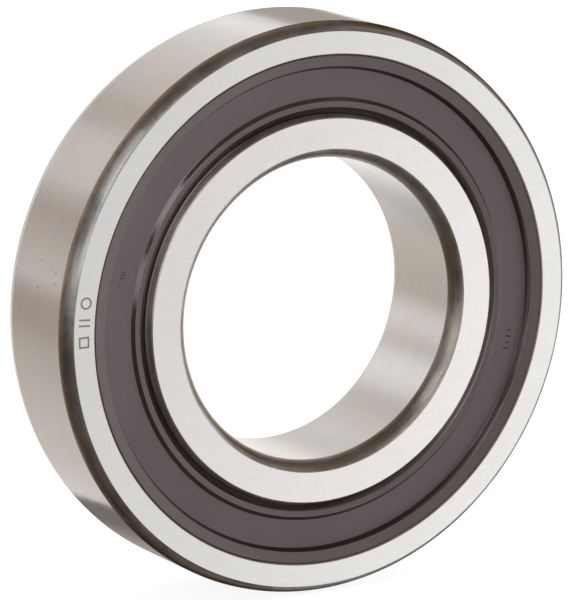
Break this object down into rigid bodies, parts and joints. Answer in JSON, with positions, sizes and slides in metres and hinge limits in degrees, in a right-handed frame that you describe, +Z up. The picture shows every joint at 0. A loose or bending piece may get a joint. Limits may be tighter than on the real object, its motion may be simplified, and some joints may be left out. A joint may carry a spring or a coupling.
{
  "type": "ball bearing",
  "caption": "Sealed deep-groove ball bearing: ground steel rings, balls in a riveted pressed cage, and a rubber contact seal stiffened by a steel insert in each side.",
  "frame": {"origin": "centre of the bearing: on its axis, midway between the two side faces", "axes": "+Y along the bearing's axis, pointing from the front side to the back side, so the front side faces -Y. +Z up when the bearing stands on its outside diameter. A ball stands at +Z at rest."},
  "size_m": [0.085, 0.019, 0.085],
  "materials": {
    "ring_steel": "ground bearing steel, satin, with a thin film of oil",
    "ball_steel": "lapped bearing steel, polished",
    "seal_rubber": "moulded nitrile rubber, dark brownish grey, satin",
    "insert_steel": "cold rolled sheet steel",
    "cage_steel": "pressed sheet steel",
    "rivet_steel": "headed steel wire"
  },
  "bodies": {
    "outer": {"outer_ring": "ring_steel", "seal_rubber_front": "seal_rubber", "seal_insert_front": "insert_steel", "seal_rubber_back": "seal_rubber", "seal_insert_back": "insert_steel"},
    "inner": {"inner_ring": "ring_steel"},
    "cage": {"cage_half_front": "cage_steel", "cage_half_back": "cage_steel", "rivet_01": "rivet_steel", "rivet_02": "rivet_steel", "rivet_03": "rivet_steel", "rivet_04": "rivet_steel", "rivet_05": "rivet_steel", "rivet_06": "rivet_steel", "rivet_07": "rivet_steel", "rivet_08": "rivet_steel", "rivet_09": "rivet_steel", "rivet_10": "rivet_steel"},
    "ball_01": {"ball_01": "ball_steel"},
    "ball_02": {"ball_02": "ball_steel"},
    "ball_03": {"ball_03": "ball_steel"},
    "ball_04": {"ball_04": "ball_steel"},
    "ball_05": {"ball_05": "ball_steel"},
    "ball_06": {"ball_06": "ball_steel"},
    "ball_07": {"ball_07": "ball_steel"},
    "ball_08": {"ball_08": "ball_steel"},
    "ball_09": {"ball_09": "ball_steel"},
    "ball_10": {"ball_10": "ball_steel"}
  },
  "joints": [
    {"name": "inner_ring_spin", "type": "hinge", "parent": "outer", "child": "inner", "pos_m": [0, 0, 0], "axis": [0, 1, 0], "continuous": true},
    {"name": "cage_spin", "type": "hinge", "parent": "outer", "child": "cage", "pos_m": [0, 0, 0], "axis": [0, 1, 0], "continuous": true},
    {"name": "ball_01_spin", "type": "hinge", "parent": "cage", "child": "ball_01", "pos_m": [0, 0, 0.0325], "axis": [0, 1, 0], "continuous": true},
    {"name": "ball_02_spin", "type": "hinge", "parent": "cage", "child": "ball_02", "pos_m": [0.0191, 0, 0.02629], "axis": [0, 1, 0], "continuous": true},
    {"name": "ball_03_spin", "type": "hinge", "parent": "cage", "child": "ball_03", "pos_m": [0.03091, 0, 0.01004], "axis": [0, 1, 0], "continuous": true},
    {"name": "ball_04_spin", "type": "hinge", "parent": "cage", "child": "ball_04", "pos_m": [0.03091, 0, -0.01004], "axis": [0, 1, 0], "continuous": true},
    {"name": "ball_05_spin", "type": "hinge", "parent": "cage", "child": "ball_05", "pos_m": [0.0191, 0, -0.02629], "axis": [0, 1, 0], "continuous": true},
    {"name": "ball_06_spin", "type": "hinge", "parent": "cage", "child": "ball_06", "pos_m": [0, 0, -0.0325], "axis": [0, 1, 0], "continuous": true},
    {"name": "ball_07_spin", "type": "hinge", "parent": "cage", "child": "ball_07", "pos_m": [-0.0191, 0, -0.02629], "axis": [0, 1, 0], "continuous": true},
    {"name": "ball_08_spin", "type": "hinge", "parent": "cage", "child": "ball_08", "pos_m": [-0.03091, 0, -0.01004], "axis": [0, 1, 0], "continuous": true},
    {"name": "ball_09_spin", "type": "hinge", "parent": "cage", "child": "ball_09", "pos_m": [-0.03091, 0, 0.01004], "axis": [0, 1, 0], "continuous": true},
    {"name": "ball_10_spin", "type": "hinge", "parent": "cage", "child": "ball_10", "pos_m": [-0.0191, 0, 0.02629], "axis": [0, 1, 0], "continuous": true}
  ],
  "couplings": [
    {"joint": "cage_spin", "follows": "inner_ring_spin", "ratio": 0.40538},
    {"joint": "ball_01_spin", "follows": "inner_ring_spin", "ratio": -2.5477},
    {"joint": "ball_02_spin", "follows": "inner_ring_spin", "ratio": -2.5477},
    {"joint": "ball_03_spin", "follows": "inner_ring_spin", "ratio": -2.5477},
    {"joint": "ball_04_spin", "follows": "inner_ring_spin", "ratio": -2.5477},
    {"joint": "ball_05_spin", "follows": "inner_ring_spin", "ratio": -2.5477},
    {"joint": "ball_06_spin", "follows": "inner_ring_spin", "ratio": -2.5477},
    {"joint": "ball_07_spin", "follows": "inner_ring_spin", "ratio": -2.5477},
    {"joint": "ball_08_spin", "follows": "inner_ring_spin", "ratio": -2.5477},
    {"joint": "ball_09_spin", "follows": "inner_ring_spin", "ratio": -2.5477},
    {"joint": "ball_10_spin", "follows": "inner_ring_spin", "ratio": -2.5477}
  ]
}
